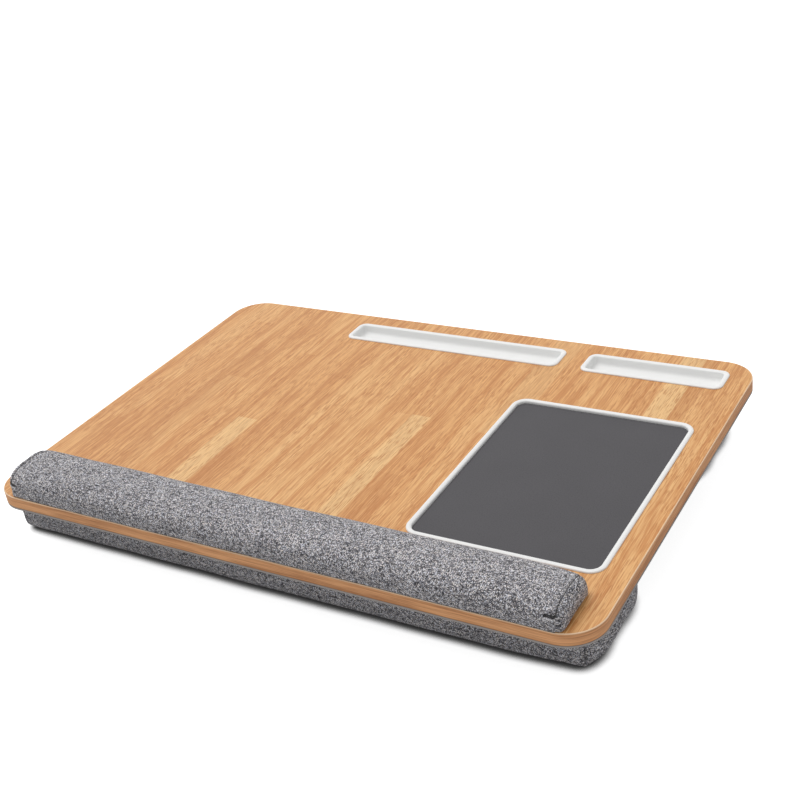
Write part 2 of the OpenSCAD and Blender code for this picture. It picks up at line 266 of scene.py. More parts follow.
class Finish:
    """A node material that is being made. Its methods return sockets to link on."""

    def __init__(self, name, **sockets):
        self.material = bpy.data.materials.new(name)
        self.material.use_nodes = True
        self.tree = self.material.node_tree
        self.tree.nodes.clear()
        self.shader = self.add("ShaderNodeBsdfPrincipled")
        self.output = self.add("ShaderNodeOutputMaterial",
                               {"Surface": self.shader.outputs[0]})
        for key, value in sockets.items():
            self.shader.inputs[key.replace("_", " ")].default_value = value

    def add(self, kind, sockets=None, **props):
        """A node with its properties, its sockets' values and its links."""
        node = self.tree.nodes.new(kind)
        for key, value in props.items():
            setattr(node, key, value)
        for key, value in (sockets or {}).items():
            if isinstance(value, bpy.types.NodeSocket):
                self.tree.links.new(value, node.inputs[key])
            else:
                node.inputs[key].default_value = value
        return node

    def math(self, operation, *values):
        """One step of arithmetic on sockets and numbers."""
        return self.add("ShaderNodeMath", dict(enumerate(values)), operation=operation).outputs[0]

    def place(self, source="Object"):
        """X, Y and Z of the object's own coordinates, or U and V of its map."""
        coordinates = self.add("ShaderNodeTexCoord").outputs[source]
        return self.add("ShaderNodeSeparateXYZ", {0: coordinates}).outputs

    def vector(self, x, y, z=0.0):
        """A vector from three sockets or numbers."""
        return self.add("ShaderNodeCombineXYZ", {0: x, 1: y, 2: z}).outputs[0]

    def noise(self, vector, scale=1.0, detail=2.0, rough=0.5, warp=0.0):
        """Smooth noise from 0 to 1."""
        return self.add("ShaderNodeTexNoise", {
            "Vector": vector, "Scale": scale, "Detail": detail, "Roughness": rough,
            "Distortion": warp}).outputs["Fac"]

    def chance(self, *values):
        """An even random number for each whole cell of its vector."""
        return self.add("ShaderNodeTexWhiteNoise", {"Vector": self.vector(*values)},
                        noise_dimensions="3D").outputs["Value"]

    def cells(self, value, uneven):
        """A random number for each cell along a line, cells being about 1 long."""
        node = self.add("ShaderNodeTexVoronoi", {"W": value, "Scale": 1.0, "Randomness": uneven},
                        voronoi_dimensions="1D", feature="F1")
        return self.add("ShaderNodeSeparateColor", {0: node.outputs["Color"]}).outputs[0]

    def fade(self, value, start, end, low=0.0, high=1.0):
        """Carries the range from start to end over to the range from low to high, clamped."""
        return self.add("ShaderNodeMapRange", {
            "Value": value, "From Min": start, "From Max": end, "To Min": low,
            "To Max": high}, interpolation_type="SMOOTHSTEP").outputs[0]

    def mix(self, factor, a, b, blend="MIX"):
        """A mix of two colours."""
        a, b = ((*c, 1.0) if not isinstance(c, bpy.types.NodeSocket) else c for c in (a, b))
        return self.add("ShaderNodeMix", {0: factor, 6: a, 7: b}, data_type="RGBA",
                        blend_type=blend).outputs[2]

    def ramp(self, factor, stops):
        """A colour ramp through stops of (place, colour)."""
        node = self.add("ShaderNodeValToRGB", {0: factor})
        elements = node.color_ramp.elements
        while len(elements) < len(stops):
            elements.new(1.0)
        for element, (place, tone) in zip(elements, stops):
            element.position, element.color = place, (*tone, 1.0)
        return node.outputs[0]

    def colour(self, socket):
        self.tree.links.new(socket, self.shader.inputs["Base Color"])

    def rough(self, socket):
        self.tree.links.new(socket, self.shader.inputs["Roughness"])

    def bump(self, height, distance, strength=1.0):
        """Bump of a height from 0 to 1, over a distance in metres."""
        node = self.add("ShaderNodeBump", {"Height": height, "Distance": distance,
                                           "Strength": strength})
        self.tree.links.new(node.outputs[0], self.shader.inputs["Normal"])

    def inside(self, x, y, low_x, high_x, low_y, high_y, soft=0.0005):
        """1 inside a rectangle, 0 outside it, with a short soft edge."""
        return self.math("MULTIPLY", *(
            self.math("MULTIPLY", self.fade(v, low - soft, low + soft),
                      self.fade(v, high + soft, high - soft))
            for v, low, high in ((x, low_x, high_x), (y, low_y, high_y))))


# Staves that stand out, as (low x, high x, low y, high y) in metres and the mix of the pale
# wood, or of the dark one where it is less than 0
STAVES = (((-0.1355, -0.1150, -0.20, -0.02), 0.75), ((0.0175, 0.0360, -0.20, 0.03), 0.75),
          ((0.2070, 0.2275, 0.00, 0.20), 0.8), ((0.2275, 0.2400, 0.086, 0.20), -0.35),
          ((0.0850, 0.1120, 0.02, 0.20), 0.35), ((-0.2050, -0.1830, -0.20, 0.10), -0.25),
          ((-0.1150, -0.0930, -0.20, -0.07), -0.20), ((0.0360, 0.0580, -0.20, -0.06), -0.22))


def oak_laminate():
    """Oak-look laminate: staves along Y, each with its own tone, with long fine streaks and
    short dark strokes along it. A few staves are paler or darker."""
    s = desk().board
    f = Finish("oak laminate", Specular_IOR_Level=0.35)
    x, y, _ = f.place()
    column = f.cells(f.math("MULTIPLY", x, 1 / s.stave_width), 0.5)
    along = f.math("MULTIPLY_ADD", y, 1 / s.stave_length, f.math("MULTIPLY", column, 23.0))
    stave = f.cells(f.math("MULTIPLY_ADD", column, 71.0, along), 0.6)
    shift = f.math("MULTIPLY", stave, 0.37)
    # The grain wanders across by a few millimetres
    bend = f.noise(f.vector(f.math("MULTIPLY", x, 14.0), f.math("MULTIPLY", y, 7.0), shift))
    wander = f.math("MULTIPLY_ADD", bend, 0.008, x)

    def drawn(across, along_it, detail, rough=0.6):
        """Noise drawn out along Y, with so many waves to the metre across and along."""
        return f.noise(f.vector(f.math("MULTIPLY", wander, across),
                                f.math("MULTIPLY", y, along_it), shift),
                       detail=detail, rough=rough)

    streak, broad = drawn(950.0, 24.0, 2.0), drawn(150.0, 5.0, 2.0)
    stroke, patch = drawn(1150.0, 90.0, 1.0, 0.5), drawn(45.0, 12.0, 1.0)
    # Strokes are dense in some patches and rare in others
    strokes = f.math("MULTIPLY", f.fade(stroke, 0.52, 0.64), f.fade(patch, 0.30, 0.62, 0.35, 1.0))
    grain = f.fade(f.math("MULTIPLY_ADD", streak, 0.62, f.math("MULTIPLY", broad, 0.38)),
                   0.40, 0.60)
    plain = f.mix(grain, s.wood_dark, s.wood)
    light = f.mix(grain, s.wood, s.wood_pale)
    wood = f.mix(f.fade(stave, 0.1, 0.95, 0.36, 0.60), plain, light)
    wood = f.mix(f.fade(column, 0.0, 1.0, 0.0, 0.16), wood, (0.93, 0.78, 0.60), "MULTIPLY")
    pale_wood = f.mix(grain, [0.86 * c for c in s.wood_pale], s.wood_pale)
    for bounds, share_of_pale in STAVES:
        tone = pale_wood if share_of_pale > 0 else s.wood_dark
        wood = f.mix(f.math("MULTIPLY", f.inside(x, y, *bounds), abs(share_of_pale)), wood, tone)
    f.colour(f.mix(f.math("MULTIPLY", strokes, 0.70), wood, s.wood_dark))
    f.rough(f.fade(streak, 0.3, 0.8, 0.40, 0.52))
    f.bump(f.math("MULTIPLY_ADD", strokes, -0.6, streak), 0.00006, 0.6)
    return f.material


def edge_strip():
    """The edge strip: grain along its length from its own map, where U runs round the board
    and V runs up its face, a painted highlight on its upper arris, and darker at its foot."""
    s = desk().board
    f = Finish("edge strip", Roughness=0.5, Specular_IOR_Level=0.35)
    u, v, _ = f.place("UV")
    _, _, z = f.place()
    streak = f.noise(f.vector(f.math("MULTIPLY", u, 26.0), f.math("MULTIPLY", v, 900.0)),
                     detail=5.0, rough=0.6)
    broad = f.noise(f.vector(f.math("MULTIPLY", u, 7.0), f.math("MULTIPLY", v, 120.0), 3.1))
    grain = f.fade(f.math("MULTIPLY_ADD", streak, 0.6, f.math("MULTIPLY", broad, 0.4)),
                   0.33, 0.64)
    wood = f.mix(grain, s.edge_dark, s.edge)
    # Painted highlight along the upper arris; the strip is also painted darker at its foot
    arris = f.fade(z, BOARD_TOP - 1.3 * s.arris, BOARD_TOP - 0.4 * s.arris, 0.0, 0.70)
    foot = f.fade(z, BOARD_LOW[2] + 1.6 * s.arris, BOARD_LOW[2] + 0.3 * s.arris, 0.0, 0.7)
    highlit = f.mix(arris, wood, s.edge_highlight)
    f.colour(f.mix(foot, highlit, s.edge_dark))
    f.bump(streak, 0.00005, 0.6)
    return f.material


def pale_backing():
    """The backing sheet: pale grey with a faint fibre mottling."""
    s = desk().board
    f = Finish("pale backing", Roughness=0.62)
    x, y, _ = f.place()
    mottle = f.noise(f.vector(f.math("MULTIPLY", x, 500.0), f.math("MULTIPLY", y, 500.0)),
                     detail=4.0)
    f.colour(f.mix(mottle, [0.82 * c for c in s.backing], [1.12 * c for c in s.backing]))
    f.bump(mottle, 0.00003, 0.5)
    return f.material


def raw_fibreboard():
    """The core: brown fibreboard with pressed fibres."""
    s = desk().board
    f = Finish("raw fibreboard", Roughness=0.85)
    x, y, z = f.place()
    fibres = f.noise(f.vector(f.math("MULTIPLY", x, 900.0), f.math("MULTIPLY", y, 900.0),
                              f.math("MULTIPLY", z, 2500.0)), detail=4.0, rough=0.7)
    f.colour(f.mix(fibres, [0.7 * c for c in s.fibre], [1.25 * c for c in s.fibre]))
    f.bump(fibres, 0.0001, 0.6)
    return f.material


def satin_plastic():
    """White moulded plastic: satin, with a very fine spark-eroded texture."""
    s = desk().trays
    f = Finish("satin white plastic", Specular_IOR_Level=0.45)
    x, y, z = f.place()
    fine = f.noise(f.vector(*(f.math("MULTIPLY", c, 2400.0) for c in (x, y, z))), detail=2.0)
    cloudy = f.noise(f.vector(*(f.math("MULTIPLY", c, 35.0) for c in (x, y, z))))
    f.colour(f.mix(cloudy, [0.985 * c for c in s.white], s.white))
    f.rough(f.fade(fine, 0.3, 0.7, 0.34, 0.46))
    f.bump(fine, 0.00002, 0.5)
    return f.material


def pad_cloth():
    """The mouse pad's face: a dark even sheet with a fine leather-like grain."""
    s = desk().pad
    f = Finish("pad surface", Specular_IOR_Level=0.3)
    x, y, _ = f.place()
    step = 1.0 / s.grain
    place = f.vector(f.math("MULTIPLY", x, step), f.math("MULTIPLY", y, step))
    pebble = f.add("ShaderNodeTexVoronoi", {"Vector": place, "Scale": 1.0, "Randomness": 1.0},
                   voronoi_dimensions="2D", feature="F1").outputs["Distance"]
    fuzz = f.noise(place, 3.0, 3.0)
    cloud = f.noise(f.vector(f.math("MULTIPLY", x, 22.0), f.math("MULTIPLY", y, 22.0)))
    tone = f.math("MULTIPLY_ADD", pebble, 0.5, f.math("MULTIPLY_ADD", cloud, 0.35,
                                                      f.math("MULTIPLY", fuzz, 0.35)))
    f.colour(f.mix(f.fade(tone, 0.2, 0.9), [1.1 * c for c in s.surface],
                   [0.9 * c for c in s.surface]))
    f.rough(f.fade(fuzz, 0.2, 0.8, 0.62, 0.78))
    f.bump(f.math("MULTIPLY_ADD", fuzz, 0.4, f.math("SUBTRACT", 1.0, pebble)), 0.00006, 0.6)
    return f.material


def pad_underlay():
    """The thin foam: near black, open pores."""
    s = desk().pad
    f = Finish("foam rubber", Roughness=0.9)
    x, y, z = f.place()
    pore = f.noise(f.vector(*(f.math("MULTIPLY", c, 1800.0) for c in (x, y, z))), detail=2.0)
    f.colour(f.mix(pore, [0.6 * c for c in s.foam], [1.5 * c for c in s.foam]))
    f.bump(pore, 0.0001, 0.6)
    return f.material


# Short creases on the wrist rest's top, painted as shade, as (low x, high x, low y, high y) in
# metres
CREASES = ((0.1975, 0.2040, -0.1592, -0.1580), (-0.0890, -0.0790, -0.1712, -0.1700))


def heather_cloth():
    """Plain-weave heather cloth on the piece's own map, whose U and V are metres along and
    across the cloth. Threads cross at each pitch; the one on top changes with the parity of
    its crossing. Each thread's tone wanders along it between dark, middle and light yarn.
    Shade is painted on it: darker between the threads' crowns, where the piece's seam
    attribute, 1 in a sewn seam and 0 away from it, marks a seam's fold, and in the wrist
    rest's tucks and creases."""
    s = desk().cloth
    f = Finish("heather cloth", Roughness=0.88, Specular_IOR_Level=0.2,
               Sheen_Weight=s.sheen, Sheen_Roughness=0.5)
    u, v, _ = f.place("UV")
    waver = f.noise(f.vector(f.math("MULTIPLY", u, 60.0), f.math("MULTIPLY", v, 60.0)))
    # The threads aren't quite straight: they wander by about a pitch
    across = f.math("ADD", f.math("MULTIPLY", u, 1 / s.thread), f.math("MULTIPLY", waver, 1.0))
    up = f.math("ADD", f.math("MULTIPLY", v, 1 / s.thread), f.math("MULTIPLY", waver, -1.0))
    column, row = f.math("FLOOR", across), f.math("FLOOR", up)
    in_column = f.math("SUBTRACT", f.math("SUBTRACT", across, column), 0.5)
    in_row = f.math("SUBTRACT", f.math("SUBTRACT", up, row), 0.5)
    parity = f.math("FLOORED_MODULO", f.math("ADD", column, row), 2.0)
    flip = f.math("SUBTRACT", 1.0, parity)
    # Tone along each weft thread, which runs along U, and along each warp thread
    weft = f.noise(f.vector(f.math("MULTIPLY", across, 0.24), f.math("MULTIPLY", row, 17.3),
                            2.0), detail=1.0)
    warp = f.noise(f.vector(f.math("MULTIPLY", column, 17.3), f.math("MULTIPLY", up, 0.34),
                            9.0), detail=1.0)
    thread = f.math("ADD", f.math("MULTIPLY", weft, parity), f.math("MULTIPLY", warp, flip))
    speck = f.chance(column, row, 0.0)
    slub = f.noise(f.vector(f.math("MULTIPLY", across, 0.07), f.math("MULTIPLY", row, 9.1),
                            5.0), detail=0.0)
    cloud = f.noise(f.vector(f.math("MULTIPLY", u, 45.0), f.math("MULTIPLY", v, 70.0), 4.0))
    crossed = f.math("ADD", f.math("MULTIPLY_ADD", thread, 1.90, f.math("MULTIPLY", speck, 0.60)),
                     f.math("MULTIPLY", parity, 0.22))
    tone = f.math("ADD", crossed, f.math("MULTIPLY_ADD", slub, 0.16,
                                         f.math("MULTIPLY_ADD", cloud, 0.18, -1.03)))
    yarn = f.ramp(tone, ((0.22, s.dark), (0.46, s.middle), (0.56, s.middle), (0.80, s.light)))
    tint = f.mix(f.chance(row, column, 7.0), (0.94, 0.98, 1.06), (1.06, 1.0, 0.93))
    # Crowns: each crossing is a dome, longer along the thread that is on top
    long_way, short_way = (f.math("COSINE", f.math("MULTIPLY", c, math.pi))
                           for c in (in_column, in_row))
    soft_column, soft_row = (f.math("POWER", f.math("MAXIMUM", c, 0.0), 0.35)
                             for c in (long_way, short_way))
    dome = f.math("ADD",
                  f.math("MULTIPLY", parity, f.math("MULTIPLY", soft_column, short_way)),
                  f.math("MULTIPLY", flip, f.math("MULTIPLY", long_way, soft_row)))
    seam = f.add("ShaderNodeAttribute", attribute_name="seam").outputs["Fac"]
    # Painted shade in the tucks beside the wrist rest's end seams, and in the short creases on its
    # top
    x, y, z = f.place()
    w = desk().wrist
    seam_x, tuck_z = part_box("wrist_rest_cover")[1][0], BOARD_TOP + w.tuck_height
    fold = f.math("MULTIPLY", f.fade(y, -0.16, -0.17),
                  f.inside(f.math("ABSOLUTE", x), z, seam_x - w.tuck_length, seam_x,
                           tuck_z - 0.0011, tuck_z + 0.0011))
    on_top = f.fade(z, BOARD_TOP + 0.015, BOARD_TOP + 0.017)
    for bounds in CREASES:
        crease = f.math("MULTIPLY", on_top, f.inside(x, y, *bounds))
        fold = f.math("MAXIMUM", fold, f.math("MULTIPLY", crease, 0.6))
    # Painted shade: darker between the threads' crowns, and down to the seam shade in the seams,
    # tucks and creases
    shade = f.math("MULTIPLY", f.fade(dome, 0.0, 0.5, 0.62, 1.0),
                   f.fade(f.math("MAXIMUM", seam, fold), 0.15, 0.80, 1.0, s.seam_shade))
    # The cloth is in its own shade where it is folded under the rest
    shade = f.math("MULTIPLY", shade, f.math("ADD", f.fade(z, BOARD_TOP, BOARD_TOP + 0.0014, 0.3, 1.0), f.fade(z, BOARD_TOP, BOARD_TOP - 0.001, 0.0, 0.7)))
    yarn = f.mix(1.0, yarn, tint, "MULTIPLY")
    f.colour(f.mix(1.0, yarn, f.vector(shade, shade, shade), "MULTIPLY"))
    f.bump(dome, s.relief, 0.9)
    return f.material


def pale_thread():
    """The stitches' thread: pale, with a twist that shows as slanting stripes."""
    s = desk().cloth
    f = Finish("pale thread", Roughness=0.8)
    x, _, z = f.place()
    twist = f.math("SINE", f.math("MULTIPLY", f.math("ADD", x, f.math("MULTIPLY", z, 0.7)),
                                  2 * math.pi / 0.0005))
    f.colour(f.mix(f.fade(twist, -1.0, 1.0), [0.8 * c for c in s.light], s.light))
    f.bump(twist, 0.00005, 0.5)
    return f.material


def wear(node, material):
    """Gives a CAD node the material in all its slots."""
    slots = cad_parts[node].material_slots
    for slot in slots:
        slot.material = material


# ---------------------------------------------------------------------------
# Surfaces
# ---------------------------------------------------------------------------

def add_piece(name, points, faces, corner_uv, material, sharp=None):
    """A mesh object from arrays: points (n, 3), faces as lists, and a UV for each face corner
    in the faces' order. Its normals are turned outwards."""
    mesh = bpy.data.meshes.new(name)
    mesh.from_pydata(points.tolist(), [], faces)
    layer = mesh.uv_layers.new(name="map")
    layer.uv.foreach_set("vector", np.asarray(corner_uv, dtype=np.float32).ravel())
    solid = bmesh.new()
    solid.from_mesh(mesh)
    bmesh.ops.recalc_face_normals(solid, faces=solid.faces)
    solid.to_mesh(mesh)
    solid.free()
    mesh.polygons.foreach_set("use_smooth", np.ones(len(mesh.polygons), dtype=bool))
    if sharp is not None:
        mesh.set_sharp_from_angle(angle=math.radians(sharp))
    mesh.materials.append(material)
    piece = bpy.data.objects.new(name, mesh)
    bpy.context.scene.collection.objects.link(piece)
    return piece


def rounded_outline(box, radius, corner_steps=14, side_steps=8):
    """Points round a rectangle (low x, low y, high x, high y) whose corners are quarter circles
    of a radius, anticlockwise: for each corner its centre plus the radius times (cos, sin) of
    an angle that turns by a quarter, with even steps along each side between the corners."""
    low_x, low_y, high_x, high_y = box
    turn = np.linspace(0.0, math.pi / 2, corner_steps + 1)
    centres = np.array([(high_x - radius, high_y - radius), (low_x + radius, high_y - radius),
                        (low_x + radius, low_y + radius), (high_x - radius, low_y + radius)])
    angles = turn[None, :] + np.arange(4)[:, None] * math.pi / 2
    arcs = centres[:, None, :] + radius * np.stack([np.cos(angles), np.sin(angles)], axis=2)
    starts, ends = arcs[:, -1], np.roll(arcs[:, 0], -1, axis=0)
    steps = np.linspace(0.0, 1.0, side_steps + 1)[1:-1]
    sides = starts[:, None, :] + (ends - starts)[:, None, :] * steps[None, :, None]
    return np.concatenate([arcs, sides], axis=1).reshape(-1, 2)


def arc_length(points):
    """Distance along a closed line of points, with its whole length as the last value."""
    steps = np.linalg.norm(np.roll(points, -1, axis=0) - points, axis=1)
    return np.concatenate([[0.0], np.cumsum(steps)])


def swept_piece(name, box, radius, profile, material, looped=False, least=0.0004, sharp=35,
                corner_steps=14, side_steps=8):
    """A profile carried round a rounded rectangle. A profile point is (inset, z): its ring is
    the outline of the box moved in by the inset, with the corner radius less the inset. A
    looped profile closes on itself; another is closed by a flat face at each end."""
    low_x, low_y, high_x, high_y = box
    insets, heights = np.array(profile).T
    rings = np.stack([np.column_stack([
        rounded_outline((low_x + d, low_y + d, high_x - d, high_y - d), max(radius - d, least),
                        corner_steps, side_steps),
        np.full(4 * (corner_steps + side_steps), z)]) for d, z in zip(insets, heights)])
    m, n = rings.shape[:2]
    round_it = arc_length(rings[0])
    along = np.concatenate([[0.0], np.cumsum(np.hypot(np.diff(insets), np.diff(heights)))])
    j = np.arange(m if looped else m - 1)[:, None]
    i = np.arange(n)[None, :]
    k = (j + 1) % m
    quads = np.stack(np.broadcast_arrays(j * n + i, j * n + (i + 1) % n, k * n + (i + 1) % n,
                                         k * n + i), axis=2).reshape(-1, 4)
    top = np.append(along, along[-1] + 0.001)[j + 1]
    u0, u1 = round_it[:-1][None, :], round_it[1:][None, :]
    uv = np.stack([np.stack(np.broadcast_arrays(a, b), axis=2) for a, b in
                   ((u0, along[j]), (u1, along[j]), (u1, top), (u0, top))], axis=2)
    faces, corner_uv = quads.tolist(), [uv.reshape(-1, 2)]
    if not looped:
        for ring in (0, m - 1):
            faces.append((ring * n + np.arange(n)).tolist())
            corner_uv.append(rings[ring][:, :2])
    return add_piece(name, rings.reshape(-1, 3), faces, np.concatenate(corner_uv), material,
                     sharp)


def quarter(inset, z, inset_radius, z_radius, start, end, steps=6):
    """Profile points on part of an ellipse round (inset, z), from one angle to another, where
    angle 0 points inwards and 90 degrees points up."""
    angle = np.radians(np.linspace(start, end, steps + 1))
    return [(inset + inset_radius * c, z + z_radius * s)
            for c, s in zip(np.cos(angle), np.sin(angle))]


def flat_box(node):
    """A node's outline (low x, low y, high x, high y), its lowest and its highest z."""
    low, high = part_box(node)
    return (low[0], low[1], high[0], high[1]), low[2], high[2]


def signed_power(value, power):
    """The power of a value's size, with the value's sign."""
    return np.sign(value) * np.abs(value) ** power


def soft_section(angle, half_depth, half_height, low, high, power, base_power):
    """Points (y, z) of a soft section at angles: the half depth times c and the half height
    times s, where c and s are the signed powers 2 / power of the angle's cosine and sine, with
    the base power below z 0, cut flat at the heights low and high."""
    root = 2 / np.where(np.sin(angle) < 0, base_power, power)
    return (half_depth * signed_power(np.cos(angle), root),
            np.clip(half_height * signed_power(np.sin(angle), root), low, high))


def even_angles(total, *section):
    """Angles of a soft section at which its points lie evenly along its edge, and closer where
    it bends: each radian of bend counts as much as 6 millimetres."""
    angle = np.linspace(0.0, 2 * math.pi, 5761)
    y, z = soft_section(angle, *section)
    dy, dz = np.diff(y), np.diff(z)
    way = np.unwrap(np.arctan2(dz, dy))
    bend = np.abs(np.diff(way, prepend=way[0]))
    edge = np.concatenate([[0.0], np.cumsum(np.hypot(dy, dz) + 0.006 * bend)])
    return np.interp(np.arange(total) * edge[-1] / total, edge, angle)


def gathered_stations(half, steps, finest):
    """Stations from -half to half that are even in the middle and close together, down to the
    finest gap, within 10 of those gaps of the seams at both ends."""
    near = half - finest * np.array([0.0, 1.0, 2.0, 3.2, 4.8, 7.0, 10.0])
    middle = np.linspace(-near[-1], near[-1], steps)
    return np.concatenate([-near[:-1], middle, near[:-1][::-1]])


class SoftForm:
    """A stuffed form along X between two corners, closed by a dome past each end seam.

    A ring is a soft section at x, whose half depth and half height are less by what the sides
    draw in: draw times the 8th power of x's share of the half length, and half of that. A dome
    copies the seam's ring at shares of its size, each a bulge times (1 - share ** power)
    further out; the power goes from the end's own at the foot and sides to its top power.
    Rings near a seam shrink by the seam's depth, which fades away with the distance from the
    seam as a bell curve."""

    DOME = np.array([0.985, 0.965, 0.935, 0.89, 0.83, 0.75, 0.66, 0.55, 0.44, 0.33, 0.22, 0.12,
                     0.05])

    def __init__(self, s, low, high, middle, pressed, left, right):
        """The left and the right end are (bulge, power, top power, draw)."""
        half, half_depth = (high[0] - low[0]) / 2, (high[1] - low[1]) / 2
        half_height = high[2] - middle + pressed
        stations = gathered_stations(half, s.along, s.seam_width * 0.6)
        section = (half_depth, half_height, low[2] - middle, high[2] - middle, s.power,
                   s.base_power)
        angle = even_angles(s.around, *section)
        y, z = soft_section(angle, *section)
        rising = np.maximum(np.sin(angle), 0.0)[None, :] ** 0.7
        left_x, right_x = (side * (half + bulge * (1 - self.DOME[:, None] ** (
            power + (top_power - power) * rising)))
            for side, (bulge, power, top_power, _) in ((-1, left), (1, right)))
        tube_x = np.broadcast_to(stations[:, None], (len(stations), len(y)))
        x = (low[0] + high[0]) / 2 + np.concatenate([left_x[::-1], tube_x, right_x])
        self.first, self.last = len(left_x), len(left_x) + len(stations) - 1
        shares = np.concatenate([self.DOME[::-1], np.ones(len(stations)), self.DOME])
        way = np.concatenate([np.full(len(left_x), -1), stations / half, np.ones(len(left_x))])
        drawn = np.where(way < 0, left[3], right[3]) * way ** 8
        steps = np.hypot(np.diff(x.mean(axis=1)), half_depth * 0.7 * np.diff(shares))
        along = np.concatenate([[0.0], np.cumsum(steps)])
        away = np.minimum(np.abs(along - along[self.first]), np.abs(along - along[self.last]))
        groove = s.seam_depth * np.exp(-(away / s.seam_width) ** 2)
        deep = shares * (1 - drawn / half_depth) - groove / half_depth
        tall = shares * (1 - drawn / 2 / half_height) - groove / half_height
        self.rings = np.stack([x, (low[1] + high[1]) / 2 + y[None, :] * deep[:, None],
                               middle + z[None, :] * tall[:, None]], axis=2)
        self.in_seam = np.repeat(np.exp(-(away / (0.75 * s.seam_width)) ** 2), len(y))

    def build(self, name, material):
        """The mesh, with a map in metres: (x, distance round the section) on the tube, and
        (y, z) on the domes. Its seam attribute is 1 on the seams and fades away from them."""
        rings = self.rings
        m, n = rings.shape[:2]
        j = np.arange(m - 1)[:, None]
        i = np.arange(n)[None, :]
        corners = [(j, i), (j, (i + 1) % n), (j + 1, (i + 1) % n), (j + 1, i)]
        quads = np.stack(np.broadcast_arrays(*(a * n + b for a, b in corners)), axis=2)
        round_it = arc_length(rings[m // 2][:, 1:])
        tube_uv = np.stack([np.stack(np.broadcast_arrays(rings[a, 0, 0], round_it[c]), axis=2)
                            for a, c in ((j, i), (j, i + 1), (j + 1, i + 1), (j + 1, i))],
                           axis=2)
        flat = rings[:, :, 1:]
        dome_uv = np.stack([flat[a, b] for a, b in corners], axis=2)
        on_tube = ((j >= self.first) & (j < self.last))[:, :, None, None]
        uv = np.where(on_tube, tube_uv, dome_uv)
        faces = quads.reshape(-1, 4).tolist()
        caps = [np.arange(n)[::-1], (m - 1) * n + np.arange(n)]
        faces += [cap.tolist() for cap in caps]
        points = rings.reshape(-1, 3)
        corner_uv = np.concatenate([uv.reshape(-1, 2)] + [points[cap][:, 1:] for cap in caps])
        piece = add_piece(name, points, faces, corner_uv, material)
        seam = piece.data.attributes.new("seam", "FLOAT", "POINT")
        seam.data.foreach_set("value", self.in_seam.astype(np.float32))
        return piece

    def seam_points(self):
        """Indices of the points on the end seams."""
        n = self.rings.shape[1]
        return np.concatenate([k * n + np.arange(n) for k in (self.first, self.last)])


def swell(piece, held, s, frames=20):
    """Lets a cover swell and slacken with Blender's cloth under inner pressure, without
    gravity. The held points stay. A move of d is kept as reach * d / (reach + d), so no point
    moves as far as the setting's reach. The result goes into the mesh and the modifier is
    removed."""
    mesh = piece.data
    rest = np.empty(3 * len(mesh.vertices), dtype=np.float32)
    mesh.vertices.foreach_get("co", rest)
    rest = rest.reshape(-1, 3)
    piece.vertex_groups.new(name="held").add(held.tolist(), 1.0, "REPLACE")
    cover = piece.modifiers.new("cover", "CLOTH")
    cloth = cover.settings
    cloth.quality = 5
    cloth.mass = 0.3
    cloth.tension_stiffness = cloth.compression_stiffness = 12
    cloth.shear_stiffness = 4
    cloth.bending_stiffness = 0.4
    cloth.air_damping = 2.0
    cloth.shrink_min = -s.slack
    cloth.use_pressure = True
    cloth.uniform_pressure_force = s.pressure
    cloth.vertex_group_mass = "held"
    cloth.pin_stiffness = 1.0
    cloth.effector_weights.gravity = 0.0
    cover.collision_settings.use_collision = False
    cover.point_cache.frame_start, cover.point_cache.frame_end = 1, frames
    for step in range(1, frames + 1):
        bpy.context.scene.frame_set(step)
    solved = piece.evaluated_get(bpy.context.evaluated_depsgraph_get())
    moved = np.empty(3 * len(mesh.vertices), dtype=np.float32)
    solved.data.vertices.foreach_get("co", moved)
    shift = moved.reshape(-1, 3) - rest
    reached = np.linalg.norm(shift, axis=1, keepdims=True)
    shift *= s.reach / (s.reach + reached)
    piece.modifiers.remove(cover)
    piece.vertex_groups.clear()
    bpy.context.scene.frame_set(1)
    mesh.vertices.foreach_set("co", (rest + shift).ravel())
    mesh.update()


def soft_creases(points, seed, height, long_wave, wave):
    """Gentle dents along a cover: a sum of cosines with seeded directions and phases."""
    draw = np.random.default_rng(seed)
    total = np.zeros(len(points))
    for _ in range(7):
        turn = draw.uniform(0, 2 * math.pi)
        phase = draw.uniform(0, 2 * math.pi)
        long_way = draw.uniform(0.7, 1.4) * 2 * math.pi / long_wave
        short_way = draw.uniform(0.7, 1.4) * 2 * math.pi / wave
        total += np.cos(points[:, 0] * long_way * math.cos(turn) + phase
                        + (points[:, 1] + 0.7 * points[:, 2]) * short_way * math.sin(turn))
    return height * total / 7


def press(piece, floor, ceiling):
    """Presses a piece flat between the levels that it lies between."""
    mesh = piece.data
    points = np.empty(3 * len(mesh.vertices), dtype=np.float32)
    mesh.vertices.foreach_get("co", points)
    points = points.reshape(-1, 3)
    points[:, 2] = np.clip(points[:, 2], floor, ceiling)
    mesh.vertices.foreach_set("co", points.ravel())
    mesh.update()


def dent(piece, seed, height, long_wave, wave):
    """Moves a cover's points along their normals by its soft creases."""
    mesh = piece.data
    points = np.empty(3 * len(mesh.vertices), dtype=np.float32)
    normals = np.empty_like(points)
    mesh.vertices.foreach_get("co", points)
    mesh.vertex_normals.foreach_get("vector", normals)
    points, normals = points.reshape(-1, 3), normals.reshape(-1, 3)
    points += normals * soft_creases(points, seed, height, long_wave, wave)[:, None]
    mesh.vertices.foreach_set("co", points.ravel())
    mesh.update()


def smooth_finish(piece, levels=1):
    """A subdivision surface over the piece."""
    rounded = piece.modifiers.new("rounded", "SUBSURF")
    rounded.levels = rounded.render_levels = levels


def declare(piece, slot, *nodes):
    """The piece rides on the desk's one body and stands for nodes, which it hides; its slot is not
    used.
    """
    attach(piece, BODY)
    if nodes:
        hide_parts(*nodes)


# ---------------------------------------------------------------------------
# Operators
# ---------------------------------------------------------------------------

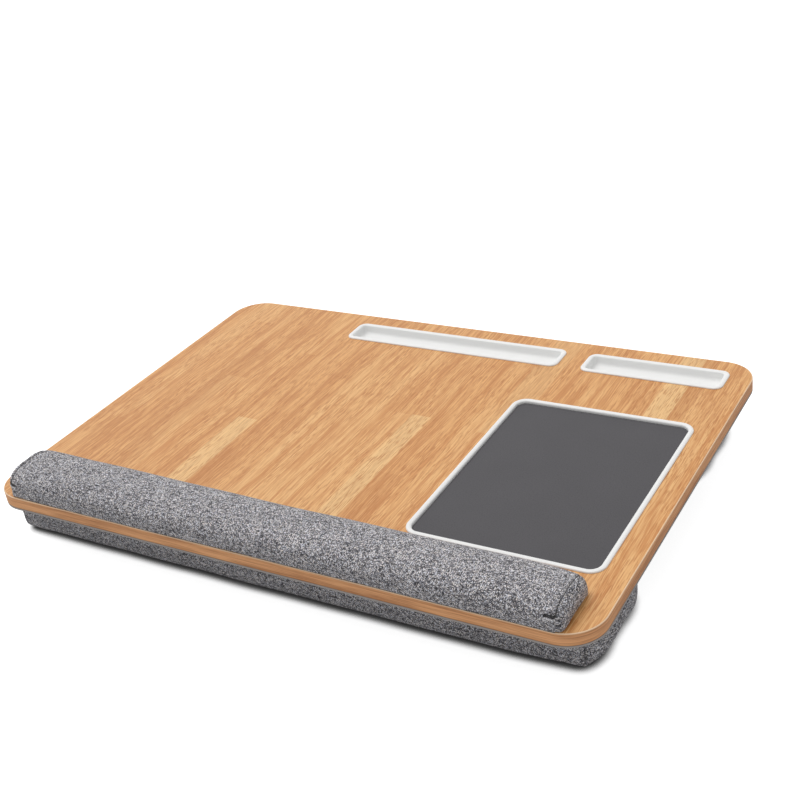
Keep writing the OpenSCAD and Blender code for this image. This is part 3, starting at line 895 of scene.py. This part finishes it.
class LAPDESK_OT_board(bpy.types.Operator):
    """Finish the board's top, core and backing, and sweep its edge strip round it"""
    bl_idname = "lapdesk.board"
    bl_label = "Board"

    def execute(self, context):
        s = desk().board
        wear("top_veneer", oak_laminate())
        wear("board_core", raw_fibreboard())
        wear("wrist_rest_base", raw_fibreboard())
        wear("backing_sheet", pale_backing())
        box, low, high = flat_box("edge_band")
        r, t = s.arris, s.band_thickness
        profile = ([(t, low), (r, low)] + quarter(r, low + r, -r, -r, 90, 0)
                   + quarter(r, high - r, -r, r, 0, 90) + [(t, high)])
        strip = swept_piece("edge_strip", box, s.corner_radius, profile, edge_strip(),
                            looped=True, corner_steps=28, side_steps=40)
        declare(strip, "wood_grain_edge", "edge_band")
        return {"FINISHED"}


def tray(name, node, corner, rim, lip, floor, fillet, draft):
    """A moulded tray: a shell whose profile runs from its underside up its body, out under the
    rim, over the crowned rim, down the inner wall and in through a fillet to its floor."""
    s = desk().trays
    box, low, high = flat_box(node)
    seat = high - s.rim_proud
    r, q, c = s.edge_radius, s.inner_radius, s.crown
    body = lip + 0.0003
    across = np.linspace(r, rim - q, 7)[1:-1]
    swell_up = c * np.sin(math.pi * (across - r) / (rim - q - r))
    top = high - c
    profile = ([(body + 0.0006, low), (body, low + 0.0006), (body, seat), (0.0002, seat)]
               + quarter(r, top - r, -r, r, 0, 90)
               + list(zip(across, top + swell_up))
               + quarter(rim - q, top - q, q, q, 90, 0)
               + quarter(rim + draft + fillet, low + floor + fillet, -fillet, -fillet, 0, 90, 8))
    return swept_piece(name, box, corner, profile, satin_plastic_once(), corner_steps=16,
                       side_steps=20, sharp=50)


def satin_plastic_once():
    """The white plastic, made on first use."""
    return bpy.data.materials.get("satin white plastic") or satin_plastic()


class LAPDESK_OT_trays(bpy.types.Operator):
    """Mould the mouse pad's tray and the phone's and the tablet's slots"""
    bl_idname = "lapdesk.trays"
    bl_label = "Trays"

    def execute(self, context):
        s = desk().trays
        declare(tray("mouse_tray", "mouse_pad_tray", s.mouse_corner, s.mouse_rim, s.mouse_lip,
                     s.mouse_floor, 0.0003, 0.0), "white_plastic", "mouse_pad_tray")
        for name, node in (("phone_slot", "phone_tray"), ("tablet_slot", "tablet_tray")):
            declare(tray(name, node, s.slot_corner, s.slot_rim, s.slot_lip, s.slot_floor,
                         s.slot_fillet, s.slot_draft), "white_plastic", node)
        return {"FINISHED"}


class LAPDESK_OT_mouse_pad(bpy.types.Operator):
    """Lay the thin foam and the dark sheet in the mouse pad's tray"""
    bl_idname = "lapdesk.mouse_pad"
    bl_label = "Mouse pad"

    def execute(self, context):
        s = desk().pad
        e = s.edge_softness
        box, low, high = flat_box("mouse_pad_sheet")
        profile = [(e, low), (0.0, low + e / 2)] + quarter(e, high - e, -e, e, 0, 90)
        sheet = swept_piece("mouse_pad_face", box, s.corner_radius, profile, pad_cloth())
        declare(sheet, "pad_surface", "mouse_pad_sheet")
        box, low, high = flat_box("mouse_pad_foam")
        profile = [(e, low), (0.0, low + e), (0.0, high - e), (e, high)]
        foam = swept_piece("mouse_pad_underlay", box, s.corner_radius, profile, pad_underlay())
        declare(foam, "pad_foam", "mouse_pad_foam")
        return {"FINISHED"}


def cloth_once():
    """The heather cloth, made on first use."""
    return bpy.data.materials.get("heather cloth") or heather_cloth()


class LAPDESK_OT_wrist_rest(bpy.types.Operator):
    """Stuff the wrist rest along the board's front"""
    bl_idname = "lapdesk.wrist_rest"
    bl_label = "Wrist rest"

    def execute(self, context):
        s = desk().wrist
        low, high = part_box("wrist_rest_cover")
        tall = high[2] - low[2]
        middle = low[2] + s.widest * tall
        low[0], low[1] = low[0] + s.left_gap, low[1] - s.proud
        form = SoftForm(s, low, high, middle, 0.0,
                        (s.left_bulge, s.left_power, s.left_top_power, s.left_draw),
                        (s.right_bulge, s.right_power, s.right_top_power, s.right_draw))
        settle(form.rings, low, high, s)
        # The painted shade of an end seam stops at the tuck
        tuck_z = BOARD_TOP + s.tuck_height
        form.in_seam *= np.clip((form.rings[:, :, 2].ravel() - tuck_z + 0.002) / 0.002, 0, 1)
        rest = form.build("wrist_rest", cloth_once())
        swell(rest, form.seam_points(), s)
        dent(rest, 11, 0.0005, 0.11, 0.05)
        press(rest, low[2], high[2] + 0.0015)
        smooth_finish(rest)
        declare(rest, "heather_cloth", "wrist_rest_cover", "wrist_rest_left_end",
                "wrist_rest_right_end", "wrist_rest_foam")
        along = high[0] - s.tuck_length * (np.arange(s.stitches) + 0.3) / s.stitches
        threads = stitch_row("wrist_rest_stitches", rest, np.concatenate([-along, along]),
                             tuck_z - 0.0021, s.stitch / 2, 0.00045)
        declare(threads, "heather_cloth")
        return {"FINISHED"}


def settle(rings, low, high, s):
    """Settles the wrist rest's rear and top. With u as x's share of the half length, a point
    on the rear edge moves by slant * x - waist * (1 - u ** 2) - droop * u ** 12 along Y, the
    droop only where u > 0, and a point at the top sinks by half of the waist's share and by
    the droop's. The points between move by their share of the way to the rear or the top.
    The left end leans: with v as y's share of the depth, it moves by lean * (1 - 1.4 * v) along
    X, less towards the foot, and the rest follows by the 12th power of -u where u < 0."""
    x, y, z = rings[:, :, 0], rings[:, :, 1], rings[:, :, 2]
    u = np.clip(2 * x / (high[0] - low[0]), -1, 1)
    v = (y - low[1]) / (high[1] - low[1])
    off_foot = np.clip((z - low[2]) / s.tuck_height, 0, 1)
    x += s.lean * (1 - 1.4 * v) * off_foot * np.clip(-u, 0, 1) ** 12
    rear = np.clip(2 * (y - low[1]) / (high[1] - low[1]) - 1, 0, 1)
    up = np.clip((z - low[2]) / (high[2] - low[2]), 0, 1)
    slim, sunk = s.waist * (1 - u ** 2), s.droop * np.clip(u, 0, 1) ** 12
    y += rear * (s.slant * x - slim - sunk)
    z -= up * (slim / 2 + sunk)


def stitch_row(name, piece, along, height, half_length, half_width):
    """Stitches on a piece's front at places along X and one height. Each is a slim ellipsoid
    along X that lies half in the cloth: its centre plus X times a cos t, plus the cloth's
    upward and outward directions times b sin t cos p and b sin t sin p."""
    surface = BVHTree.FromObject(piece, bpy.context.evaluated_depsgraph_get())
    hits = [surface.ray_cast(Vector((x, -0.4, height)), Vector((0, 1, 0))) for x in along]
    centres = np.array([hit[0] for hit in hits])
    out = np.array([hit[1] for hit in hits])
    way = np.cross(np.cross(out, (1.0, 0.0, 0.0)), out)
    way /= np.linalg.norm(way, axis=1, keepdims=True)
    up = np.cross(out, way)
    t = np.linspace(0.25, math.pi - 0.25, 7)[None, :, None, None]
    p = np.linspace(0.0, 2 * math.pi, 9)[:-1][None, None, :, None]
    way, up, out, centres = (v[:, None, None, :] for v in (way, up, out, centres))
    points = (centres + way * half_length * np.cos(t)
              + half_width * np.sin(t) * (up * np.cos(p) + out * np.sin(p)))
    total, m, n = points.shape[:3]
    k, j, i = np.ogrid[:total, :m - 1, :n]
    corners = [(j, i), (j, (i + 1) % n), (j + 1, (i + 1) % n), (j + 1, i)]
    quads = np.stack(np.broadcast_arrays(*((k * m + a) * n + b for a, b in corners)), axis=3)
    first = np.arange(total)[:, None] * m * n + np.arange(n)[None, :]
    faces = quads.reshape(-1, 4).tolist() + first.tolist() + (first + (m - 1) * n).tolist()
    points = points.reshape(-1, 3)
    corner_uv = points[np.concatenate([np.array(face) for face in faces])][:, [0, 2]]
    return add_piece(name, points, faces, corner_uv, pale_thread())


class LAPDESK_OT_cushion(bpy.types.Operator):
    """Stuff the cushion's front and rear rolls under the board"""
    bl_idname = "lapdesk.cushion"
    bl_label = "Cushion rolls"

    def execute(self, context):
        s = desk().cushion
        front = (s.shift, s.stretch, (s.left_bulge, s.left_power, s.left_power, s.left_draw),
                 (s.right_bulge, s.right_power, s.right_power, s.right_draw), 21)
        rear_end = (s.rear_bulge, s.rear_power, s.rear_power, s.left_draw)
        rear = (s.rear_shift, 0.0, rear_end, rear_end, 22)
        for side, (shift, stretch, left, right, seed) in (("front", front), ("rear", rear)):
            low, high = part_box(f"{side}_bolster_cover")
            low[0], high[0] = low[0] - shift - stretch, high[0] - shift
            form = SoftForm(s, low, high, (low[2] + high[2]) / 2, s.pressed, left, right)
            # The rolls' seams get 0.7 of the painted seam shade
            form.in_seam *= 0.7
            roll = form.build(f"{side}_roll", cloth_once())
            swell(roll, form.seam_points(), s)
            dent(roll, seed, 0.0009, 0.10, 0.05)
            press(roll, low[2], high[2])
            smooth_finish(roll)
            declare(roll, "heather_cloth", *(f"{side}_bolster_{part}" for part in (
                "cover", "left_end", "right_end", "filling")))
        return {"FINISHED"}


class LAPDESK_OT_cushion_cloth(bpy.types.Operator):
    """Sew the cloth panel under the board and the quilted web between the rolls"""
    bl_idname = "lapdesk.cushion_cloth"
    bl_label = "Cushion panel and web"

    def execute(self, context):
        s = desk().cushion
        box, low, high = flat_box("cushion_panel")
        e = (high - low) / 3
        profile = ([(e, low)] + quarter(e, low + e, -e, -e, 90, 0, 3)
                   + quarter(e, high - e, -e, e, 0, 90, 3))
        panel = swept_piece("cushion_cloth_panel", box, s.panel_corner, profile, cloth_once(),
                            side_steps=24)
        declare(panel, "heather_cloth", "cushion_panel")
        box, low, high = flat_box("cushion_web")
        web = quilted_web("cushion_quilted_web", box, low, high, s.channel)
        declare(web, "heather_cloth", "cushion_web")
        return {"FINISHED"}


def quilted_web(name, box, low, high, pitch):
    """The web: a flat pad whose underside bulges between sewn lines across it. At (x, y) its
    thickness is the full one times 0.4 plus 0.6 times the root of |sin(pi x / pitch)|, and it
    thins to nothing at its rim as the root of 1 - |share| ** 24 of the half width."""
    across = round((box[2] - box[0]) / pitch)
    total = across * 12 + 1
    x = np.linspace(box[0], box[2], total)
    share_x = 2 * (x - box[0]) / (box[2] - box[0]) - 1
    share_y = np.sin(np.linspace(-math.pi / 2, math.pi / 2, 45))
    half = (box[3] - box[1]) / 2
    y = (box[1] + box[3]) / 2 + half * share_y
    channels = 0.4 + 0.6 * np.sqrt(np.abs(np.sin(math.pi * across * (share_x + 1) / 2)))
    rim = (np.sqrt(np.maximum(1 - np.abs(share_y) ** 24, 0.0))[None, :]
           * np.sqrt(np.maximum(1 - np.abs(share_x) ** 160, 0.0))[:, None])
    thick = (high - low) * channels[:, None] * np.maximum(rim, 0.02)
    grid = np.stack(np.broadcast_arrays(x[:, None], y[None, :], high - thick), axis=2)
    lid = grid.copy()
    lid[:, :, 2] = high - 0.0
    rings = np.concatenate([lid, grid[:, ::-1]], axis=1)
    m, n = rings.shape[:2]
    j, i = np.arange(m - 1)[:, None], np.arange(n)[None, :]
    corners = [(j, i), (j, (i + 1) % n), (j + 1, (i + 1) % n), (j + 1, i)]
    quads = np.stack(np.broadcast_arrays(*(a * n + b for a, b in corners)), axis=2)
    points = rings.reshape(-1, 3)
    faces = quads.reshape(-1, 4).tolist()
    faces += [np.arange(n)[::-1].tolist(), ((m - 1) * n + np.arange(n)).tolist()]
    corner_uv = points[np.concatenate([np.array(face) for face in faces])][:, :2]
    return add_piece(name, points, faces, corner_uv, cloth_once())


class LAPDESK_OT_stage(bpy.types.Operator):
    """Set up the pale floor, the soft lights and the camera"""
    bl_idname = "lapdesk.stage"
    bl_label = "Stage"

    def execute(self, context):
        s = desk().stage
        scene = context.scene
        scene.view_settings.view_transform = "Standard"
        lay_floor(s)
        light_room(s)
        right, up = Vector(s.camera_right).normalized(), Vector(s.camera_up).normalized()
        back = right.cross(up).normalized()
        up = back.cross(right)
        lens = bpy.data.cameras.new("camera")
        lens.sensor_width, lens.lens = 36.0, s.lens
        lens.clip_start, lens.clip_end = 0.01, 50.0
        camera = bpy.data.objects.new("camera", lens)
        turn = Matrix((right, up, back)).transposed().to_4x4()
        camera.matrix_world = Matrix.Translation(s.camera_place) @ turn
        scene.collection.objects.link(camera)
        scene.camera = camera
        return {"FINISHED"}


def lay_floor(s):
    """A pale floor that keeps the shadow: diffuse, and lifted to white for the camera where
    nothing stands close above it."""
    reach = 12.0
    mesh = bpy.data.meshes.new("floor")
    mesh.from_pydata([(-reach, -reach, 0), (reach, -reach, 0), (reach, reach, 0),
                      (-reach, reach, 0)], [], [(0, 1, 2, 3)])
    floor = bpy.data.objects.new("floor", mesh)
    bpy.context.scene.collection.objects.link(floor)
    f = Finish("pale floor", Roughness=1.0, Specular_IOR_Level=0.0)
    seen = f.add("ShaderNodeLightPath").outputs["Is Camera Ray"]
    openness = f.add("ShaderNodeAmbientOcclusion", {"Distance": s.contact},
                     samples=16).outputs["AO"]
    # The shade right at a thing's foot is deeper for the camera
    foot = f.fade(openness, 0.15, 0.55, 0.7, 0.0)
    tone = f.math("MULTIPLY", f.math("SUBTRACT", 1.0, f.math("MULTIPLY", seen, foot)),
                  s.floor_tone)
    f.colour(f.vector(tone, tone, tone))
    lift = f.math("MULTIPLY", seen, f.fade(openness, 0.28, 0.80, 0.0, s.floor_lift))
    lift = f.add("ShaderNodeEmission", {"Color": (1.0, 1.0, 1.0, 1.0), "Strength": lift})
    both = f.add("ShaderNodeAddShader", {0: f.shader.outputs[0], 1: lift.outputs[0]})
    f.tree.links.new(both.outputs[0], f.output.inputs["Surface"])
    mesh.materials.append(f.material)


def light_room(s):
    """A soft key light from the upper left, and pale surroundings that the camera and glossy
    rays see as white."""
    disc = bpy.data.lights.new("key", "SUN")
    disc.energy, disc.angle = s.key, s.key_softness
    key = bpy.data.objects.new("key", disc)
    key.rotation_euler = Vector(s.key_from).to_track_quat("Z", "Y").to_euler()
    bpy.context.scene.collection.objects.link(key)
    world = bpy.data.worlds.new("pale surroundings")
    bpy.context.scene.world = world
    world.use_nodes = True
    tree = world.node_tree
    tree.nodes.clear()
    paths = tree.nodes.new("ShaderNodeLightPath")
    seen = paths.outputs["Is Camera Ray"]
    for ray in ("Is Glossy Ray", "Is Transmission Ray"):
        more = tree.nodes.new("ShaderNodeMath")
        more.operation = "MAXIMUM"
        tree.links.new(seen, more.inputs[0])
        tree.links.new(paths.outputs[ray], more.inputs[1])
        seen = more.outputs[0]
    strength = tree.nodes.new("ShaderNodeMapRange")
    strength.inputs["To Min"].default_value = s.fill
    strength.inputs["To Max"].default_value = 1.0
    tree.links.new(seen, strength.inputs["Value"])
    sky = tree.nodes.new("ShaderNodeBackground")
    sky.inputs["Color"].default_value = (1.0, 1.0, 1.0, 1.0)
    tree.links.new(strength.outputs[0], sky.inputs["Strength"])
    output = tree.nodes.new("ShaderNodeOutputWorld")
    tree.links.new(sky.outputs[0], output.inputs["Surface"])


STEPS = (LAPDESK_OT_board, LAPDESK_OT_trays, LAPDESK_OT_mouse_pad, LAPDESK_OT_wrist_rest,
         LAPDESK_OT_cushion, LAPDESK_OT_cushion_cloth, LAPDESK_OT_stage)


class LAPDESK_PT_desk(bpy.types.Panel):
    """The lap desk's pieces and stage, in the order in which they are made"""
    bl_idname = "LAPDESK_PT_desk"
    bl_label = "Lap desk"
    bl_space_type = "VIEW_3D"
    bl_region_type = "UI"
    bl_category = "Lap desk"

    def draw(self, context):
        for step in STEPS:
            self.layout.operator(step.bl_idname)
        for group in ("board", "trays", "pad", "cloth", "wrist", "cushion", "stage"):
            settings = getattr(context.scene.lap_desk, group)
            box = self.layout.box()
            box.label(text=group.capitalize())
            for name in settings.__annotations__:
                box.prop(settings, name)


CLASSES = (*GROUPS, DeskSettings, *STEPS, LAPDESK_PT_desk)


def register():
    """Registers the classes and puts the settings on the scene."""
    for item in CLASSES:
        bpy.utils.register_class(item)
    bpy.types.Scene.lap_desk = bpy.props.PointerProperty(type=DeskSettings)


def unregister():
    """Takes the settings off the scene and unregisters the classes."""
    del bpy.types.Scene.lap_desk
    for item in reversed(CLASSES):
        bpy.utils.unregister_class(item)


def main():
    """Makes every piece and the stage in order."""
    register()
    bpy.ops.lapdesk.board()
    bpy.ops.lapdesk.trays()
    bpy.ops.lapdesk.mouse_pad()
    bpy.ops.lapdesk.wrist_rest()
    bpy.ops.lapdesk.cushion()
    bpy.ops.lapdesk.cushion_cloth()
    bpy.ops.lapdesk.stage()


if __name__ == "__main__":
    main()
